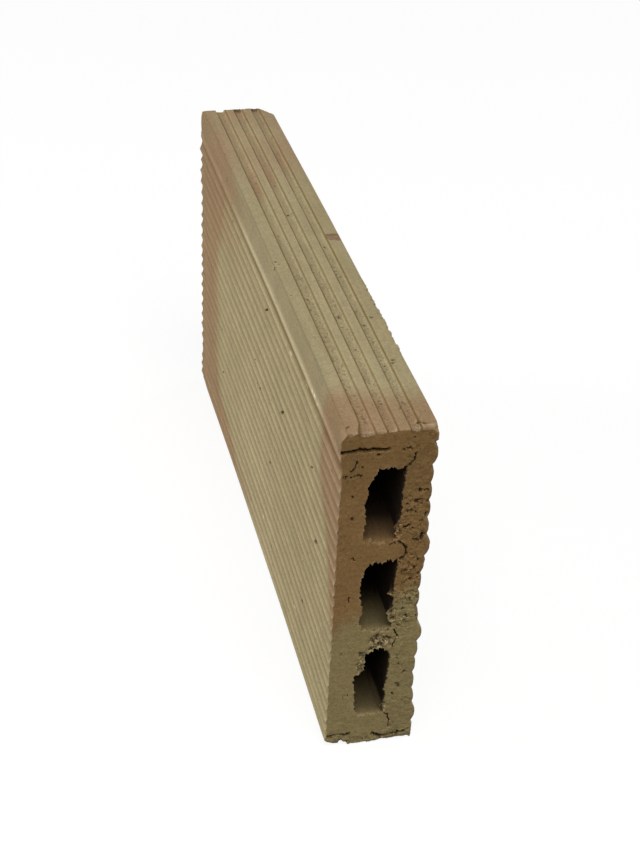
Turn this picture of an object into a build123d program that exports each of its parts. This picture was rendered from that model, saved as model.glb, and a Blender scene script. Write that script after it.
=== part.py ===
from build123d import *
import os

# Overall size of the brick in millimetres, lying on its long narrow edge
length = 240.0
thickness = 29.0
height = 115.0

# Three through cells one above the other
cell_count = 3
cell_width = 11.0
cell_height = 25.4
cell_web = 7.6
cell_corner_radius = 1.2
cell_offset = -0.6

# Fluted front face, a sharp ridge between each two flutes and a bevel above and below
flute_count = 22
flute_depth = 0.7
wide_flute_height = 5.8
ridge_width = 0.5
top_bevel_width = 1.8
top_bevel_height = 7.8
bottom_bevel_width = 1.2
bottom_bevel_height = 3.2

# Back face, evenly spaced wide beads with narrow ribs between them
bead_count = 4
bead_width = 7.6
bead_rise = 1.4
ribs_per_gap = 4
rib_rise = 0.6
top_band_height = 5.1
bottom_band_height = 6.5
band_set_back = 0.6
band_lead_in = 0.5
back_corner_radius = 1.0

# Keying grooves along the top and the bottom edge
groove_count = 3
groove_pitch = 6.65
groove_mouth = 3.1
groove_floor = 2.2
groove_depth = 1.0
top_groove_offset = 0.6
bottom_groove_offset = -1.6

# Places that follow from the sizes
front_y = -thickness / 2
back_y = thickness / 2
valley_y = back_y - bead_rise
band_y = back_y - band_set_back
cell_pitch = cell_height + cell_web
top_ridge_z = height - top_bevel_height
flutes_top_z = top_ridge_z - wide_flute_height
flute_pitch = (flutes_top_z - bottom_bevel_height) / flute_count
lowest_bead_z = bottom_band_height + bead_width / 2
bead_pitch = (height - top_band_height - bead_width / 2 - lowest_bead_z) / (bead_count - 1)
bead_z = [lowest_bead_z + n * bead_pitch for n in range(bead_count)]


def flute(low_z, high_z):
    """One hollow of the front face, with the flat of the ridge below it"""
    foot_z = low_z + ridge_width
    Line((front_y, low_z), (front_y, foot_z))
    ThreePointArc(
        (front_y, foot_z),
        (front_y + flute_depth, (foot_z + high_z) / 2),
        (front_y, high_z),
    )


def swelling(low_z, high_z, rise):
    """One bead or rib of the back face"""
    ThreePointArc(
        (valley_y, low_z),
        (valley_y + rise, (low_z + high_z) / 2),
        (valley_y, high_z),
    )


def bead(middle_z):
    """One bead of the back face"""
    swelling(middle_z - bead_width / 2, middle_z + bead_width / 2, bead_rise)


def ribs_above(middle_z):
    """Narrow ribs from one bead to the next one above it"""
    start_z = middle_z + bead_width / 2
    rib_width = (bead_pitch - bead_width) / ribs_per_gap
    for n in range(ribs_per_gap):
        swelling(start_z + n * rib_width, start_z + (n + 1) * rib_width, rib_rise)


def grooved_edge(start, end, floor_z, offset):
    """Straight lands from start to end, with the keying grooves between them"""
    edge_z = start[1]
    path = [start]
    for n in range(groove_count):
        y = offset + (n - (groove_count - 1) / 2) * groove_pitch
        path.append((y - groove_mouth / 2, edge_z))
        path.append((y - groove_floor / 2, floor_z))
        path.append((y + groove_floor / 2, floor_z))
        path.append((y + groove_mouth / 2, edge_z))
    path.append(end)
    Polyline(*path)


def band_corner(notch_z, edge_z, way):
    """Plain band beside the outer bead and its rounded corner, way is +1 at the top and -1 below"""
    round_z = edge_z - way * back_corner_radius
    Polyline((valley_y, notch_z), (band_y, notch_z + way * band_lead_in), (band_y, round_z))
    RadiusArc((band_y, round_z), (band_y - back_corner_radius, edge_z), -way * back_corner_radius)


# The brick, one extruded and fired body
with BuildPart() as hollow_brick:
    with BuildSketch(Plane.YZ) as section:
        with BuildLine() as outline:
            # Front face from the bottom bevel to the top bevel
            Line((front_y + bottom_bevel_width, 0), (front_y, bottom_bevel_height))
            for n in range(flute_count):
                low_z = bottom_bevel_height + n * flute_pitch
                flute(low_z, low_z + flute_pitch)
            flute(flutes_top_z, top_ridge_z)
            Line((front_y, top_ridge_z), (front_y + top_bevel_width, height))

            # Top and bottom edges
            grooved_edge(
                (front_y + top_bevel_width, height),
                (band_y - back_corner_radius, height),
                height - groove_depth,
                top_groove_offset,
            )
            grooved_edge(
                (front_y + bottom_bevel_width, 0),
                (band_y - back_corner_radius, 0),
                groove_depth,
                bottom_groove_offset,
            )

            # Back face, the beads and ribs between the two plain bands
            band_corner(bottom_band_height, 0, -1)
            for middle_z in bead_z:
                bead(middle_z)
            for middle_z in bead_z[:-1]:
                ribs_above(middle_z)
            band_corner(height - top_band_height, height, 1)
        make_face()
        with Locations((cell_offset, height / 2)):
            with GridLocations(0, cell_pitch, 1, cell_count):
                RectangleRounded(cell_width, cell_height, cell_corner_radius, mode=Mode.SUBTRACT)
    extrude(amount=length / 2, both=True)

hollow_brick.part.label = "hollow_brick"
os.makedirs("parts", exist_ok=True)
export_step(hollow_brick.part, "parts/hollow_brick.step")
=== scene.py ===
import math
import bmesh
import bpy
import numpy as np
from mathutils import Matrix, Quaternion, Vector
from mathutils.geometry import delaunay_2d_cdt
from mathutils.kdtree import KDTree
from types import SimpleNamespace


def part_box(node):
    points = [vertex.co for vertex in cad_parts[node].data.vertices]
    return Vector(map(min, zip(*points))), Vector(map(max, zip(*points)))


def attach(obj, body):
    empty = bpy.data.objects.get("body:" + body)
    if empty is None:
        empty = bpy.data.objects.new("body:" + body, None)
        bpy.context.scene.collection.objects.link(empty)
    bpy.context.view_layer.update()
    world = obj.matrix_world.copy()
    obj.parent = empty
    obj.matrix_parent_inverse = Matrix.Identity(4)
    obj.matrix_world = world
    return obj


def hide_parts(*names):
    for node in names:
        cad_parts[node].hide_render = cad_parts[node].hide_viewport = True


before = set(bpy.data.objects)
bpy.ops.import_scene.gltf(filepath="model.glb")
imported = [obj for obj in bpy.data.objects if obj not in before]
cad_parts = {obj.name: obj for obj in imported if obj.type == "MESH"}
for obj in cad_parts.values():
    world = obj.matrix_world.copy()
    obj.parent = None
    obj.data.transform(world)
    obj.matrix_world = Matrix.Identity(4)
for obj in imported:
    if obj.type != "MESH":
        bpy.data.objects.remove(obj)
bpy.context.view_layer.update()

# Lengths in this script are in millimetres, and meshes are written in metres
MM = 0.001
box_low, box_high = (np.array(corner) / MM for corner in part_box("hollow_brick"))
length, thickness, height = box_high - box_low
front_y = -thickness / 2
back_y = thickness / 2

# Faces of the section, in the order of the tables that hold a value for each of them
FRONT, TOP, BACK, BOTTOM = range(4)

# Section of the brick, close to that of its solid
cell_count = 3
cell_width = 11.0
cell_height = 25.4
cell_pitch = 33.0
cell_corner_radius = 1.2
cell_offset = -0.6
flute_count = 22
flute_depth = 0.6
wide_flute_height = 5.8
top_bevel_width = 1.8
top_bevel_height = 7.8
bottom_bevel_width = 1.2
bottom_bevel_height = 3.2
bead_count = 4
bead_width = 7.6
bead_rise = 1.4
ribs_per_gap = 4
rib_rise = 0.6
top_band_height = 5.1
bottom_band_height = 6.5
band_set_back = 0.6
band_lead_in = 0.5
back_corner_radius = 0.6
groove_count = 3
groove_pitch = 6.65
groove_mouth = 3.1
groove_depth = 0.8
top_groove_offset = 0.6
bottom_groove_offset = -1.6

# Across one keying groove from its front side: a steep wall in painted shade, a floor, and a wall with a
# painted highlight under a lip with a painted shade line
groove_width_shares = (0.0, 0.05, 0.12, 0.22, 0.34, 0.55, 0.74, 0.83, 0.92, 1.0)
groove_depth_shares = (0.0, 0.35, 0.85, 1.0, 1.0, 0.98, 0.95, 0.62, 0.22, 0.0)
groove_painted_shade_shares = (0.6, 1.8, 1.7, 0.5, 0.0, 0.0, 0.0, 0.0, 0.6, 1.7)
groove_painted_highlight_shares = (0.0, 0.0, 0.0, 0.0, 0.0, 0.0, 0.0, 0.3, 0.2, 0.0)
groove_floor_share = 0.5
lip_painted_highlight_share = 0.6

# Dirt on the top bevel and along its upper corner, and how rubbed pale with a painted highlight its last
# points above the top ridge are
bevel_dirt_share = 0.3
bevel_corner_dirt_share = 0.6
bevel_foot_rub_and_highlight_shares = (0.8, 2.2)

# Extra width of the grooves along their front side, on the top edge from the back one and on the bottom edge
top_groove_growths = (0.0, 0.25, 0.45)
bottom_groove_growths = (0.0, 0.0, 0.0)

# Across one flute from its upper ridge down: where the ridge is rubbed pale with a painted highlight and
# where dirt and painted shade lie in the hollow
flute_rub_and_highlight_shares = (1.0, 0.9, 0.5, 0.1, 0.0, 0.0, 0.15, 0.6)
flute_dirt_and_shade_shares = (0.0, 0.0, 0.05, 0.25, 0.4, 0.4, 0.2, 0.0)
wide_flute_rub_and_highlight_shares = (3.0, 2.6, 1.0, 0.0, 0.0, 0.0, 0.0, 0.0, 0.0, 0.5)
wide_flute_dirt_and_shade_shares = (0.0, 0.0, 0.0, 0.4, 1.0, 1.4, 1.4, 1.1, 0.6, 0.0)

# The ridges lie a little off their even heights, and some carry more rubbed pale and painted highlight than
# others, from the top down
ridge_shift_heights = (3, 12, 30, 50, 64, 80, 90, 101)
ridge_shifts = (0.0, -0.1, 0.5, 0.1, -1.05, -0.8, -0.15, -0.35)
ridge_rub_and_highlight_shares = (
    1.1, 0.8, 1.0, 1.1, 1.3, 1.5, 0.8, 1.5, 1.2, 1.0, 0.9, 0.8,
    1.0, 0.8, 0.9, 0.9, 1.0, 0.9, 1.4, 0.8, 0.9, 0.9, 0.7,
)

# How far the flutes droop, and how high the top ridge is and how much rubbed pale and painted highlight it
# has, at places along the brick
flute_droop_places = (-115, -75, -55, -25, 15, 55, 92, 115)
flute_droops = (1.1, 0.75, 0.5, 0.2, 0.0, 0.3, 1.05, 1.6)
ridge_places = (-110, -55, -15, 25, 62, 88, 110)
ridge_rises = (-0.6, -0.6, -0.2, 0.35, 0.3, 0.2, 0.0)
ridge_shine_shares = (0.35, 0.6, 1.0, 1.2, 0.95, 1.05, 0.7)

# Shape of the hollow under the top ridge, and how full a bead or rib is
ridge_band_share = 0.28
wide_flute_depth = 0.9
swelling_fullness = 2.6

# How closely the surfaces are sampled
bead_steps = 12
rib_steps = 8
land_step = 0.6
corner_steps = 4
end_station_step = 0.42
station_growth = 1.17
body_station_step = 4.6
cell_ring_step = 0.34
cell_end_step = 0.45
cell_station_growth = 1.5
cell_station_step = 20.0
near_cap_step = 0.38
far_cap_step = 0.8
crack_step = 0.4
crumb_density = 60
fill_row_share = 0.87
fill_play_share = 0.22
fill_gap_share = 0.6
detail_gap_share = 0.25

# Departures of the fired brick from its die and its cutting wire
skin_play = 0.06
bow = 0.5
end_skew = 3.5
end_play = 0.12
wave_height = 0.12
drag_height = 0.05
groove_roughness = 0.2
nick_depth = 0.2
cell_drag_height = 0.2
core_margin = 5.0

# Worn edges of both ends on the front, top, back and bottom: radius and how uneven it is
near_edge_radii = (0.12, 0.4, 0.5, 0.2)
near_edge_plays = (0.16, 0.4, 0.45, 0.15)
far_edge_radii = (1.1, 0.6, 0.45, 0.45)
far_edge_plays = (0.5, 0.35, 0.35, 0.35)
smallest_edge_radius = 0.1
back_edge_roughness = 0.35

# Stretches of the near edge that are worn more: face, added radius, and Y where the wear starts and is full
near_edge_stretches = (
    (TOP, 0.2, -9, -13),
    (BOTTOM, 0.7, -8, -8.6),
    (BOTTOM, 0.35, 3.2, 3.8),
)

# Dents of the back face by the near end: depth, middle height, half height and the share of it that slopes
back_dents = (
    (1.0, 56, 16, 0.7),
    (0.5, 26, 12, 0.8),
)
back_dent_places = (70, 119)

# How far the skin is pressed in or swells by the ends, and how far from the end that reaches
near_ridge_wear = 0.1
near_ridge_reach = 1.5
far_front_draw = 0.4
far_front_play = 0.3
far_front_reach = 18
far_ridge_draw = 0.55
far_ridge_reach = 12
far_bevel_swell = 0.8
far_bevel_reach = 25
land_flare = 1.5
land_flare_reach = 7
land_flare_places = (-12.5, -8.0, -5.0)
back_band_swell = 0.45
foot_wear_reach = 5
far_lip_rise = 0.7
far_lip_reach = 2.6
far_lip_dark_share = 0.8
top_groove_rise = 0.5
bottom_groove_drop = 0.7
near_groove_reach = 2.2
flute_hold_share = 0.5

# Where the front face counts as a ridge, and Y from which on grooves have a lip and the top has its back land
ridge_crest_share = 0.6
far_lip_y = -3
filled_foot_y = -5
back_land_y = 8.5

# Strengths of the marks on the skin
far_fade_share = 0.6
far_shade_share = 0.15
middle_shade_share = 0.18
pale_foot_share = 0.16
pale_top_share = 0.13
top_fringe_share = 0.22
ridge_fringe_share = 0.4
top_grey_share = 0.2
bevel_grey_share = 0.5
torn_groove_share = 0.45

# Mouths of the cells: how far in they are ragged, how uneven they are and how pale the near rims are
mouth_reach = 2.2
far_mouth_play = 0.45
tooth_height = 0.45
fine_tooth_height = 0.3
jag_height = 0.22
tube_rim_pale_share = 0.45
end_rim_pale_share = 0.35

# Soot on the upper part of the near end, and how far the rims of an end can sink
soot_share = 0.3
soot_heights = (88, 104)
deepest_ring = 0.5

# Depth of the relief of the near end where it is torn, has small hollows and has crumbled
torn_depth = 0.28
hollow_depth = 0.6
crumb_depth = 0.6

# Painted light on the floors of the cells from below up: how strong it is and how far in it reaches
floor_light_shares = (0.25, 0.28, 0.21)
floor_light_reaches = (24.0, 16.0, 10.0)

# Mouths of the cells at the near end, as (Y, Z) of each side, anticlockwise from the bottom right corner
near_mouths = (
    (
        ((3.9, 11.9), (3.5, 14.2), (2.5, 14.6), (3.7, 15.6), (4.2, 18), (4.2, 20.2), (3.5, 21.2),
         (4.2, 25), (4.5, 31)),
        ((4.4, 36.2), (2.7, 36.6), (1.9, 37.4), (1.2, 36.8), (0.2, 37.4), (-0.7, 36.2), (-1.4, 35.9),
         (-2.7, 36.3)),
        ((-3.3, 36.3), (-2.8, 33), (-3.2, 29.2), (-4.5, 27.6), (-6.1, 27.8), (-6.2, 25), (-5.6, 21),
         (-5.6, 15.8)),
        ((-4.9, 12.8), (-4.2, 12.9), (-4.4, 11.6), (-3.2, 11.4), (-1.5, 11.6), (0.6, 11.3), (2.7, 11.6)),
    ),
    (
        ((4.9, 44.6), (3.1, 47.9), (2.5, 51.5), (4.2, 52.5), (4.2, 56.2), (2.6, 57.9), (4, 58.4),
         (4.4, 62), (4.7, 66)),
        ((4.9, 69.7), (3.3, 69.8), (2, 70.1), (0.3, 69.6), (-0.9, 69.8), (-2.4, 69.6)),
        ((-3.8, 69), (-4.6, 67.9), (-5.3, 65.5), (-6.1, 61.7), (-5.9, 57), (-4.7, 51.2), (-5.9, 50),
         (-5.8, 48)),
        ((-4.9, 46), (-4.4, 44.6), (-3.2, 44.9), (-1.5, 44.2), (-0.3, 45.3), (0.6, 44.8), (2.4, 44.1),
         (3.9, 45.2)),
    ),
    (
        ((4, 77.5), (3.4, 80), (2.9, 82.7), (4.4, 84.4), (4.5, 86.7), (4.7, 90.8), (4.8, 95), (5, 99.2)),
        ((5.2, 102.6), (3.9, 102.2), (2.4, 102.6), (0.3, 102.5), (-1.3, 102.4)),
        ((-2.8, 102.1), (-4.7, 98.3), (-5.5, 95.8), (-5.7, 93.3), (-6.4, 90.4), (-5.7, 84.2), (-6.3, 79.6)),
        ((-5.6, 77), (-5.2, 77.6), (-4.2, 79.2), (-3.5, 76.9), (-2.2, 76.5), (-0.1, 76.6), (2, 76.7)),
    ),
)

# Cracks in the near end: width, depth and the (Y, Z) points that each one runs through
near_cracks = (
    (1.35, 2.6, ((-14, 108.7), (-12.5, 108.9), (-10.5, 108.8), (-9, 109.2), (-7, 108.8), (-4.5, 109),
                 (-1, 108.8))),
    (0.26, 1.2, ((5.6, 103), (6.8, 104.3), (7.4, 105.7), (7.6, 107.6))),
    (0.55, 2.2, ((4.5, 76.5), (5.8, 75.5), (6.6, 74), (6.8, 72.3), (6.4, 70.9), (5.4, 70.1))),
    (0.3, 0.7, ((1.6, 75.9), (2.6, 76.3), (3.6, 76.2))),
    (0.32, 1.4, ((5.3, 44), (5.7, 42.8), (6.4, 40.8))),
    (0.32, 1.4, ((5.7, 40), (5, 38.6), (5.1, 37.4))),
    (0.28, 1.2, ((4.1, 11.4), (5.1, 10.6), (5.8, 8.3), (5.6, 5.2))),
    (0.45, 1.2, ((-9.4, 105.6), (-9.9, 103.5), (-11, 102.3))),
    (0.6, 1.4, ((11.3, 78.6), (11.2, 77.2), (10.5, 76.4), (8.8, 76.9))),
    (0.3, 0.9, ((-9.4, 57.6), (-9.3, 55.8))),
    (0.55, 1.0, ((-13.2, 4.4), (-11, 4.7), (-9.4, 4.6), (-8, 4.4), (-6.5, 4.5))),
    (0.5, 1.0, ((5.6, 3.1), (7.3, 2.6), (9, 2.7), (11, 3.2))),
    (0.9, 1.6, ((0.5, 3.4), (2.5, 2.6), (4, 1.9), (5.6, 2.3))),
)

# Painted shade in the cracks, its strength in those from a width on that let some light in, and in the pits
crack_darkness = 0.95
wide_crack = 1.0
wide_crack_darkness = 0.6
pit_darkness = 0.85
shade_drop = (0, 0.15)
pit_rim_count = 7

# Pits in the near end: radius, depth and their (Y, Z) places
near_pits = (
    (0.4, 0.6, ((-13.2, 100.6), (-12.4, 100.3), (-11, 100.6), (-10.1, 100.4), (-9, 100.7), (-8.1, 100.4))),
    (0.45, 0.7, ((-9.9, 93.5), (-9.6, 85.9), (-3.4, 107.1), (-7.5, 103.4), (6.6, 112.1), (-8.8, 71.5))),
    (0.55, 0.9, ((9.7, 90.8), (8.9, 90.2), (11.2, 94), (9.5, 93.8), (6.4, 87.1), (7.6, 87.4), (12.3, 89.6))),
    (0.5, 0.8, ((6, 81.3), (7.1, 82.1), (10.7, 83.3), (12, 85.2), (3.9, 108.4), (5.1, 108.6), (6.2, 89.4))),
    (0.5, 0.8, ((8, 68.5), (9.6, 66.8), (7.2, 65.6), (10.6, 69), (11.2, 64.2), (8.7, 62.6), (6.6, 61.2))),
    (0.45, 0.7, ((9, 55.4), (7.2, 51.8), (10.8, 52.2), (8.4, 49.2), (11.6, 48.6), (6.6, 33), (7.3, 30.4))),
    (0.45, 0.7, ((9.2, 27.2), (7.2, 22.4), (7.9, 21.6), (6.2, 18.7))),
    (0.3, 0.4, ((-10.4, 36.3), (-9.2, 19.6), (-7.8, 19.8))),
)

# Crumbling places of the near end: centre (Y, Z), half sizes, how far the clay broke away, how pale it is
near_crumbs = (
    ((1.4, 39.7), (3.6, 3.2), 1.0, 1.0),
    ((-1.6, 37.2), (1.6, 1.0), 0.7, 0.9),
    ((-4.0, 32.0), (1.5, 4.8), 0.8, 1.0),
    ((-4.3, 78.4), (0.9, 1.5), 0.2, 0.7),
    ((4.1, 80.8), (1.2, 3.2), 0.6, 0.25),
    ((4.1, 49.6), (1.4, 3.0), 0.6, 0.25),
    ((3.4, 13.9), (1.2, 2.0), 0.5, 0.4),
    ((3.6, 58.0), (1.2, 0.9), 0.4, 0.5),
    ((0.8, 44.6), (4.0, 0.9), 0.5, 0.4),
)

# Pits in the front face, drawn out at a slant, as half width, depth and (X, Z) places
front_pits = (
    (0.5, 1.5, ((39.5, 74.6), (92.5, 60.5), (11.3, 97))),
    (0.38, 1.1, ((-32, 77.5), (-50, 100.5), (84.5, 82), (77, 27), (-66, 30))),
    (0.3, 0.8, ((-5.5, 69), (-15, 68.3), (2.5, 62.3), (-21, 46.6), (11, 51.6), (22.5, 44.6), (-69, 47))),
)
front_pit_stretch = 3.2
front_pit_slants = (28, 17, 36, 23)

# Pits in the top edge, as radius, depth and (X, Y) places
top_pits = (
    (0.5, 0.8, ((12.2, -11.2), (16, -11.9), (54, 10.3), (81, 10), (82.6, 9.6), (108, 5.5))),
    (0.42, 0.6, ((36, -11), (24, -5.6), (38, -6.2), (51, 0.6), (63, -5.9), (72, 0.9), (83, 7.2), (92, 0.4),
                 (57, 7.1))),
    (0.38, 0.6, ((20, 7), (14, -10.3), (68, 7.3), (104, 0.7), (-8, -6), (-24, 0.5), (2, 7.2))),
)

# Pale chips along the ridges of the front face, as (X, Z) places
ridge_chips = (
    (82, 107.0), (85, 107.2), (88.5, 106.6), (104, 105.5), (71, 102.6), (69, 103), (49, 101.6), (14, 17.2),
    (67, 17.4)
)
chip_half_width = 0.45
chip_depth = 0.15
chip_stretch = 3.5

# Dark smudges on the top edge, as radius, strength and (X, Y) places
top_stains = (
    (1.1, 0.36, ((-5, 10.2), (-4.9, 11.3), (-4.7, 12.4), (-4.5, 13.3))),
    (1.8, 0.2, ((-2.8, 10.6), (-2.2, 12), (-2.0, 13.2))),
)
stain_brown_share = 0.9

# Gouges in the top edge by the near end, and pale chips beside them, as radius, depth and (X, Y) places
top_gouges = (
    (0.5, 0.5, ((115.9, 8.3), (116.4, 9.0), (116.8, 9.8), (117.0, 10.6))),
    (0.45, 0.4, ((115.6, -11.6), (116.0, -12.2))),
)
top_chips = (
    (0.7, 0.1, ((117.6, 9.3), (118.0, 10.8), (118.2, 12.0), (118.6, 7.0), (118.4, 1.0))),
)

# Edges that turn by more than this many degrees are crisp
sharp_angle = 48

# By the near end the top bevel is pressed out to a squarer corner, from this height on
square_corner_z = 112.4
square_corner_reach = 9.0

# Burr along the top's back edge: its stretch, the band that it grows from, how far it is drawn out and up,
# and the painted shadow along it
burr_start = 27.0
burr_end = 80.0
burr_fade = 8.0
burr_band_width = 2.0
burr_band_height = 1.2
burr_reach = 0.45
burr_rise = 0.1
burr_shadow_share = 1.6


# Noise, the same at every run
def lattice(cells, seed):
    """Random value from -1 to 1 for whole-number cells"""
    mixed = cells[..., 0] * 374761393 + cells[..., 1] * 668265263 + cells[..., 2] * 1440662683
    mixed = (mixed + seed * 974634777) & 0xFFFFFFFF
    mixed = ((mixed ^ (mixed >> 13)) * 1274126177) & 0xFFFFFFFF
    mixed = mixed ^ (mixed >> 16)
    return (mixed & 0xFFFF) / 32767.5 - 1


def noise(points, cell, seed):
    """Smooth noise from -1 to 1, with cell as the size of its lumps along each axis"""
    scaled = np.asarray(points, float) / np.asarray(cell, float)
    base = np.floor(scaled).astype(np.int64)
    part = scaled - base
    part = part * part * (3 - 2 * part)
    total = 0
    for corner in np.ndindex(2, 2, 2):
        weight = np.prod(np.where(corner, part, 1 - part), axis=-1)
        total = total + weight * lattice(base + np.array(corner), seed)
    return total


def fractal(points, cell, seed, octaves=3):
    """Noise with finer and weaker noise added to it"""
    cell = np.asarray(cell, float)
    return sum(noise(points, cell / 2**n, seed + n) / 2**n for n in range(octaves))


def smooth(value, start, end):
    """0 before start, 1 after end and smooth between them"""
    share = np.clip((np.asarray(value, float) - start) / (end - start), 0, 1)
    return share * share * (3 - 2 * share)


def band(value, rise, fall):
    """1 between two smooth borders, each given by its start and its end"""
    return smooth(value, *rise) * (1 - smooth(value, *fall))


def by_end(distance, reach, full_share=1.0):
    """1 at an end of the brick, falling to 0 at this reach from it"""
    return smooth(1 - distance / reach, 0, full_share)


def flat_points(points):
    """Points of a section or an end, given as (Y, Z), in the plane of X = 0"""
    return np.insert(points, 0, 0.0, axis=1)


# Outline of the section, anticlockwise seen from +X with Y to the right
top_ridge_z = height - top_bevel_height
flutes_top_z = top_ridge_z - wide_flute_height
flute_pitch = (flutes_top_z - bottom_bevel_height) / flute_count
valley_y = back_y - bead_rise
band_y = back_y - band_set_back
lowest_bead_z = bottom_band_height + bead_width / 2
bead_pitch = (height - top_band_height - bead_width / 2 - lowest_bead_z) / (bead_count - 1)
rib_width = (bead_pitch - bead_width) / ribs_per_gap


def ridge_z(n):
    """Height of one ridge of the front face, counted from the top"""
    even_z = flutes_top_z - n * flute_pitch
    return even_z + np.interp(even_z, ridge_shift_heights, ridge_shifts)


class Outline:
    """Points of the section, each with its face and how far it is a groove floor, rubbed pale with a painted
    highlight, or dirty with painted shade
    """

    def __init__(self):
        self.points = []

    def add(self, y, z, face, groove=0.0, crest=0.0, dirt=0.0):
        self.points.append(SimpleNamespace(y=y, z=z, face=face, groove=groove, crest=crest, dirt=dirt))

    def column(self, name):
        """One value of all points"""
        return np.array([getattr(point, name) for point in self.points])

    def line(self, start, end, face, dirt=0.0):
        """Straight stretch up to, but not with, its end"""
        start, end = np.array(start, float), np.array(end, float)
        count = max(1, round(np.linalg.norm(end - start) / land_step))
        for n in range(count):
            self.add(*(start + (end - start) * n / count), face, dirt=dirt)

    def flute(self, high_z, low_z, deep, ridge_rubs_and_highlights, rub_and_highlight_shares, dirt_and_shade_shares, band_share=0.0):
        """One hollow of the front face, from its upper ridge or flat band down, with the rubbed pale and
        painted highlight of both ridges and its dirt and painted shade
        """
        for n, (pale, dirt) in enumerate(zip(rub_and_highlight_shares, dirt_and_shade_shares)):
            share = n / len(rub_and_highlight_shares)
            hollow_share = max(0.0, share - band_share) / (1 - band_share)
            y = front_y + deep * math.sin(math.pi * hollow_share)
            ridge_rub_and_highlight = ridge_rubs_and_highlights[0] if share < 0.5 else ridge_rubs_and_highlights[1]
            self.add(y, high_z + (low_z - high_z) * share, FRONT, crest=ridge_rub_and_highlight * pale, dirt=dirt)

    def swelling(self, low_z, high_z, rise, steps):
        """One bead or rib of the back face, from below up"""
        for n in range(steps):
            share = n / steps
            y = valley_y + rise * (1 - abs(2 * share - 1) ** swelling_fullness)
            self.add(y, low_z + (high_z - low_z) * share, BACK)

    def grooved_edge(self, start_y, end_y, edge_z, way, offset, growths, face):
        """Lands and keying grooves of the bottom edge (way +1) or the top edge (way -1)"""
        shares = (groove_width_shares, groove_depth_shares, groove_painted_shade_shares, groove_painted_highlight_shares)
        steps = list(zip(*shares))[::way]
        here = start_y
        for n in range(groove_count):
            middle = offset + way * (n - (groove_count - 1) / 2) * groove_pitch
            front_side = middle - groove_mouth / 2 - growths[n]
            width = groove_mouth + growths[n]
            self.line((here, edge_z), (front_side + steps[0][0] * width, edge_z), face)
            # Painted highlight on the land's edge before each groove
            self.points[-1].crest = lip_painted_highlight_share
            for across, down, dirt, pale in steps:
                y = front_side + across * width
                on_floor = float(down > groove_floor_share)
                self.add(y, edge_z + way * down * groove_depth, face, on_floor, pale, dirt)
            here = y + way * land_step / 2
        self.line((here, edge_z), (end_y, edge_z), face)

    def corner(self, start_angle, edge_z, way):
        """Rounded corner between the back face and a narrow edge"""
        for n in range(corner_steps):
            angle = math.radians(start_angle + 90 * n / corner_steps)
            y = band_y - back_corner_radius + math.cos(angle) * back_corner_radius
            self.add(y, edge_z + way * back_corner_radius + math.sin(angle) * back_corner_radius, BACK)


def section_outline():
    """The whole outline: bottom, back, top and front"""
    outline = Outline()
    low_corner_y = front_y + bottom_bevel_width
    high_corner_y = front_y + top_bevel_width
    corner_y = band_y - back_corner_radius
    top_band_z = height - top_band_height
    outline.grooved_edge(low_corner_y, corner_y, 0, 1, bottom_groove_offset, bottom_groove_growths, BOTTOM)
    outline.corner(-90, 0, 1)
    outline.line((band_y, back_corner_radius), (band_y, bottom_band_height - band_lead_in), BACK)
    outline.add(band_y, bottom_band_height - band_lead_in, BACK)
    for n in range(bead_count):
        low_z = bottom_band_height + n * bead_pitch
        outline.swelling(low_z, low_z + bead_width, bead_rise, bead_steps)
        if n < bead_count - 1:
            for k in range(ribs_per_gap):
                rib_z = low_z + bead_width + k * rib_width
                outline.swelling(rib_z, rib_z + rib_width, rib_rise, rib_steps)
    outline.add(valley_y, top_band_z, BACK)
    outline.line((band_y, top_band_z + band_lead_in), (band_y, height - back_corner_radius), BACK)
    outline.corner(0, height, -1)
    outline.grooved_edge(corner_y, high_corner_y, height, -1, top_groove_offset, top_groove_growths, TOP)
    outline.add(high_corner_y, height, FRONT, dirt=bevel_corner_dirt_share)
    bevel_start = (high_corner_y - land_step / 4, height - land_step)
    outline.line(bevel_start, (front_y, top_ridge_z), FRONT, dirt=bevel_dirt_share)
    for point, pale in zip(outline.points[-2:], bevel_foot_rub_and_highlight_shares):
        point.crest = pale
    top_rubs_and_highlights = (1.0, ridge_rub_and_highlight_shares[0])
    wide_marks = (wide_flute_rub_and_highlight_shares, wide_flute_dirt_and_shade_shares)
    outline.flute(top_ridge_z, ridge_z(0), wide_flute_depth, top_rubs_and_highlights, *wide_marks, ridge_band_share)
    for n in range(flute_count):
        ridge_rubs_and_highlights = ridge_rub_and_highlight_shares[n:n + 2]
        outline.flute(ridge_z(n), ridge_z(n + 1), flute_depth, ridge_rubs_and_highlights, flute_rub_and_highlight_shares, flute_dirt_and_shade_shares)
    outline.line((front_y, bottom_bevel_height), (low_corner_y, 0), FRONT)
    return outline


def outward(points):
    """Outward normals of a closed anticlockwise outline"""
    along = np.roll(points, -1, axis=0) - np.roll(points, 1, axis=0)
    across = np.stack([along[:, 1], -along[:, 0]], axis=1)
    return across / np.linalg.norm(across, axis=1, keepdims=True)


def from_core(points):
    """Directions away from the core of the section, the same along each face and turning at the corners"""
    low = np.array((front_y + core_margin, core_margin))
    high = np.array((back_y - core_margin, height - core_margin))
    away = points - np.clip(points, low, high)
    return away / np.linalg.norm(away, axis=1, keepdims=True)


def graded_stations(total, first, growth, largest):
    """Places from 0 to total, close together at both ends"""
    steps = [first]
    while sum(steps) < total / 2:
        steps.append(min(steps[-1] * growth, largest))
    half = np.cumsum([0] + steps)
    half = half * (total / 2) / half[-1]
    return np.concatenate([half, total - half[-2::-1]])


def end_reach(z):
    """Distance of the cut ends from the middle, a little less below than above"""
    return length / 2 - end_play - end_skew * (1 - np.asarray(z, float) / height)


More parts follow.
